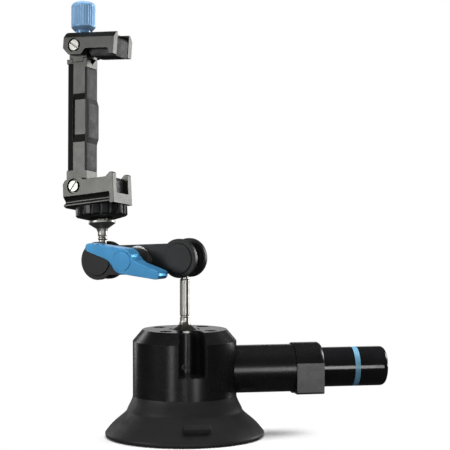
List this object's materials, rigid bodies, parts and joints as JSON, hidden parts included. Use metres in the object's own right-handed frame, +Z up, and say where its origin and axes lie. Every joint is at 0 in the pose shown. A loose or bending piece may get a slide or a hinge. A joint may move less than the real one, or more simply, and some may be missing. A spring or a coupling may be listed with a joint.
{
  "type": "vacuum cup phone mount",
  "caption": "Pump-action vacuum cup mount with a ball-jointed lever arm and a screw-adjusted phone clamp.",
  "frame": {"origin": "on the cup's axis, on the surface the cup stands on", "axes": "+X along the pump, +Z up along the cup's axis; the slot and the peel tab face -Y"},
  "size_m": [0.1626, 0.107, 0.2245],
  "materials": {
    "rubber": "matte, softly moulded",
    "steel": "plain machined",
    "bright_steel": "bright, fine turned",
    "brass": "machined",
    "dark_steel": "blackened, machined",
    "foam": "open-cell filter disc",
    "black_anodised": "satin black anodised, fine turned grain",
    "grey_anodised": "satin dark grey anodised",
    "black_plastic": "polished black",
    "black_coated": "matte black coating",
    "blue_anodised": "satin blue anodised",
    "light_blue": "satin light blue band"
  },
  "bodies": {
    "base": {"rubber_cup": "rubber", "cup_plate": "steel", "cup_screws": "steel", "air_filter": "foam", "check_valve": "brass", "body_housing": "black_anodised", "vent_screw": "steel", "pump_barrel": "black_anodised", "barrel_seal": "rubber", "pump_collar": "black_anodised", "wiper_seal": "rubber", "return_spring": "steel"},
    "plunger": {"plunger": "black_plastic", "indicator_ring": "light_blue", "piston": "black_plastic", "piston_seal": "rubber"},
    "lower_stud": {"lower_ball_stud": "bright_steel"},
    "lower_seats": {"lower_ball_seats": "dark_steel"},
    "arm": {"arm_front_shell": "black_coated", "arm_rear_shell": "black_coated", "arm_end_caps": "black_coated", "centre_bolt": "steel", "shell_spring": "steel", "thrust_washer": "steel"},
    "lever": {"lever_hub": "black_anodised", "clamp_lever": "blue_anodised", "lever_cap": "blue_anodised"},
    "upper_seats": {"upper_ball_seats": "dark_steel"},
    "upper_stud": {"upper_ball_stud": "bright_steel"},
    "lock_nut": {"lock_nut": "black_anodised"},
    "lower_jaw": {"lower_jaw": "grey_anodised", "lower_jaw_pad": "rubber"},
    "spine": {"spine": "grey_anodised", "spine_pad": "rubber", "lower_pivot_screws": "bright_steel"},
    "slider": {"slider": "grey_anodised", "upper_pivot_screws": "bright_steel", "knob_washer": "brass"},
    "knob": {"lead_screw": "steel", "knob": "blue_anodised", "knob_cap": "blue_anodised"},
    "upper_jaw": {"upper_jaw": "grey_anodised", "upper_jaw_pad": "rubber"}
  },
  "joints": [
    {"name": "plunger_push", "type": "slide", "parent": "base", "child": "plunger", "axis": [-1, 0, 0], "range_m": [0, 0.026], "stiffness_N_per_m": 500, "springref_m": -0.006, "deforming": ["return_spring"]},
    {"name": "stud_pan", "type": "hinge", "parent": "base", "child": "lower_stud", "pos_m": [0, 0, 0.09], "axis": [0, 0, 1], "continuous": true},
    {"name": "lower_tilt", "type": "hinge", "parent": "lower_stud", "child": "lower_seats", "pos_m": [0, 0, 0.09], "axis": [-0.7694, 0.6388, 0], "range_deg": [-7, 7]},
    {"name": "arm_swing", "type": "hinge", "parent": "lower_seats", "child": "arm", "pos_m": [0, 0, 0.09], "axis": [-0.6388, -0.7694, 0], "range_deg": [-60, 30]},
    {"name": "lever_turn", "type": "hinge", "parent": "arm", "child": "lever", "pos_m": [-0.01806, 0.01499, 0.08877], "axis": [-0.6388, -0.7694, 0], "range_deg": [-20, 340]},
    {"name": "upper_swing", "type": "hinge", "parent": "arm", "child": "upper_seats", "pos_m": [-0.03765, 0.03126, 0.08744], "axis": [-0.6388, -0.7694, 0], "range_deg": [-36, 80]},
    {"name": "upper_tilt", "type": "hinge", "parent": "upper_seats", "child": "upper_stud", "pos_m": [-0.03765, 0.03126, 0.08744], "axis": [0.7636, -0.634, 0.1225], "range_deg": [-1, 14]},
    {"name": "lock_nut_turn", "type": "hinge", "parent": "upper_stud", "child": "lock_nut", "pos_m": [-0.03811, 0.03547, 0.11207], "axis": [-0.0183, 0.1684, 0.9856], "continuous": true},
    {"name": "clamp_swivel", "type": "hinge", "parent": "upper_stud", "child": "lower_jaw", "pos_m": [-0.0382, 0.03631, 0.117], "axis": [-0.0183, 0.1684, 0.9856], "continuous": true},
    {"name": "spine_rock", "type": "hinge", "parent": "lower_jaw", "child": "spine", "pos_m": [-0.04698, 0.04461, 0.12496], "axis": [0.6223, 0.7735, -0.1206], "range_deg": [-2.8, 3]},
    {"name": "slider_travel", "type": "slide", "parent": "spine", "child": "slider", "axis": [0.02, 0.1383, 0.9902], "range_m": [0, 0.028]},
    {"name": "knob_turn", "type": "hinge", "parent": "slider", "child": "knob", "pos_m": [-0.04534, 0.05595, 0.20615], "axis": [0.02, 0.1383, 0.9902], "range_deg": [0, 2520]},
    {"name": "upper_jaw_rock", "type": "hinge", "parent": "slider", "child": "upper_jaw", "pos_m": [-0.04548, 0.05498, 0.19922], "axis": [0.6223, 0.7735, -0.1206], "range_deg": [-4.6, 3]}
  ],
  "couplings": [
    {"joint": "knob_turn", "follows": "slider_travel", "rad_per_m": 1570}
  ]
}
